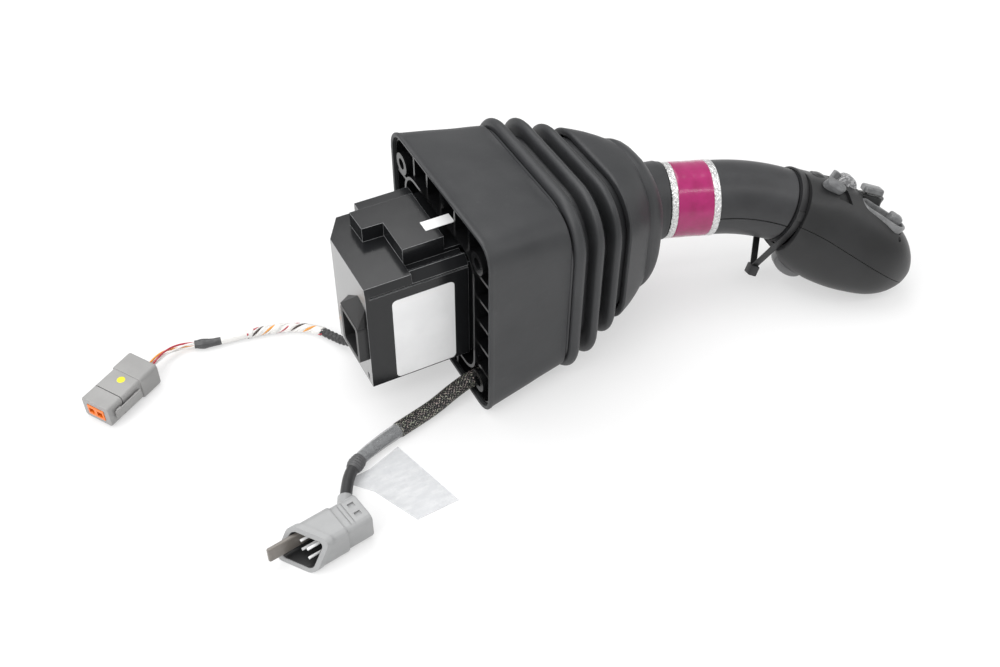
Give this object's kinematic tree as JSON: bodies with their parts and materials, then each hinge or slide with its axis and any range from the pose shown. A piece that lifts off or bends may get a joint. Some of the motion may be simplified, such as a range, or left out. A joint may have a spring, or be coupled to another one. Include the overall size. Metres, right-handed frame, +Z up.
{
  "type": "control joystick",
  "caption": "Cranked grip joystick on a rubber boot with a flange frame, an electronics box behind it and short harnesses with connectors.",
  "frame": {"origin": "centre of the four panel screws in the rear plane of the panel frame, on the shaft axis", "axes": "+X along the shaft from the electronics box towards the grip, +Y away from the side with the blank plate, +Z up as it lies on its side"},
  "size_m": [0.5175, 0.1992, 0.132],
  "materials": {
    "boot_rubber": "satin",
    "frame_plastic": "matte",
    "box_plastic": "gloss",
    "socket_plastic": "matte",
    "contact_metal": "polished",
    "board_laminate": "satin",
    "blank_plate": "matte",
    "steel": "satin",
    "bush_bronze": "satin",
    "yoke_metal": "satin",
    "magnet_metal": "polished",
    "grip_plastic": "satin",
    "colour_film": "gloss",
    "foil": "polished",
    "strap_nylon": "satin",
    "control_plastic": "satin",
    "dark_control": "satin",
    "braid_weave": "woven",
    "clear_tube": "gloss",
    "tape": "satin",
    "sheath": "satin",
    "tag_film": "satin",
    "connector_grey": "satin",
    "wedge_orange": "satin",
    "wire_insulation": "satin",
    "white_tube": "satin"
  },
  "bodies": {
    "base": {"boot_skirt": "boot_rubber", "bellows_rear": "boot_rubber", "mount_frame": "frame_plastic", "harness_grommet": "boot_rubber", "box_housing": "box_plastic", "rear_cover": "box_plastic", "cover_screws": "steel", "header_shroud": "socket_plastic", "header_pins": "contact_metal", "circuit_board": "board_laminate", "sensor_board": "board_laminate", "thin_gland": "socket_plastic", "blank_labels": "blank_plate", "gimbal_housing": "frame_plastic", "housing_screws": "steel", "yoke_bushes": "bush_bronze", "spring_fore": "steel", "braid_sleeve": "braid_weave", "clear_sleeve": "clear_tube", "tape_lump": "tape", "black_sheath": "sheath", "tag_flag": "tag_film", "receptacle_shell": "connector_grey", "receptacle_wedge": "connector_grey", "receptacle_pins": "contact_metal", "thin_sheath": "sheath", "wrap_sleeve": "wire_insulation", "white_sleeve": "white_tube", "shrink_tube": "sheath", "lead_wires": "wire_insulation", "plug_body": "connector_grey", "plug_wedge": "wedge_orange", "plug_latch": "connector_grey"},
    "yoke": {"yoke_ring": "yoke_metal", "spring_side": "steel", "bellows_front": "boot_rubber"},
    "stick": {"shaft": "steel", "cross_pin": "steel", "sensor_magnet": "magnet_metal", "shaft_clamp": "yoke_metal", "boot_cone": "boot_rubber", "grip_upper_tube": "grip_plastic", "grip_lower_tube": "grip_plastic", "colour_band": "colour_film", "band_trims": "foil", "head_upper_shell": "grip_plastic", "head_lower_shell": "grip_plastic", "zip_tie": "strap_nylon", "switch_board": "board_laminate", "control_pins": "steel", "rocker_bezel": "dark_control"},
    "thumb_wheel": {"thumb_wheel": "control_plastic"},
    "cap_button": {"cap_button": "control_plastic"},
    "top_rocker": {"top_rocker": "control_plastic"},
    "small_button": {"small_button": "control_plastic"},
    "main_rocker": {"main_rocker": "dark_control"},
    "end_button": {"end_button": "control_plastic"},
    "paddle_button": {"paddle_button": "control_plastic"},
    "trigger": {"trigger": "dark_control"}
  },
  "joints": [
    {"name": "tilt_fore", "type": "hinge", "parent": "base", "child": "yoke", "pos_m": [0.045, 0, 0], "axis": [0, 1, 0], "range_deg": [-18, 18], "stiffness_Nm_per_rad": 12, "deforming": ["bellows_rear"]},
    {"name": "tilt_side", "type": "hinge", "parent": "yoke", "child": "stick", "pos_m": [0.045, 0, 0], "axis": [0, 0, 1], "range_deg": [-18, 18], "stiffness_Nm_per_rad": 12, "deforming": ["bellows_front"]},
    {"name": "wheel_roll", "type": "hinge", "parent": "stick", "child": "thumb_wheel", "pos_m": [0.26795, -0.04476, 0.00236], "axis": [0.4589, 0.787, -0.4123], "range_deg": [-35, 35], "stiffness_Nm_per_rad": 0.05},
    {"name": "cap_press", "type": "slide", "parent": "stick", "child": "cap_button", "axis": [-0.6151, -0.0534, -0.7866], "range_m": [0, 0.0012], "stiffness_N_per_m": 500},
    {"name": "top_rock", "type": "hinge", "parent": "stick", "child": "top_rocker", "pos_m": [0.28071, -0.05408, -0.0061], "axis": [0.4589, 0.787, -0.4123], "range_deg": [-5, 5], "stiffness_Nm_per_rad": 0.4},
    {"name": "small_press", "type": "slide", "parent": "stick", "child": "small_button", "axis": [-0.6151, -0.0534, -0.7866], "range_m": [0, 0.0012], "stiffness_N_per_m": 500},
    {"name": "main_rock", "type": "hinge", "parent": "stick", "child": "main_rocker", "pos_m": [0.27602, -0.06928, -0.00864], "axis": [0.5768, 0.7809, -0.2397], "range_deg": [-8, 8], "stiffness_Nm_per_rad": 0.4},
    {"name": "end_press", "type": "slide", "parent": "stick", "child": "end_button", "axis": [-0.5062, 0.1114, -0.8552], "range_m": [0, 0.0012], "stiffness_N_per_m": 500},
    {"name": "paddle_press", "type": "slide", "parent": "stick", "child": "paddle_button", "axis": [-0.0971, 0.5291, -0.843], "range_m": [0, 0.0012], "stiffness_N_per_m": 500},
    {"name": "trigger_pull", "type": "hinge", "parent": "stick", "child": "trigger", "pos_m": [0.22739, -0.0411, -0.03583], "axis": [-0.4589, -0.787, 0.4123], "range_deg": [0, 8], "stiffness_Nm_per_rad": 0.5}
  ]
}
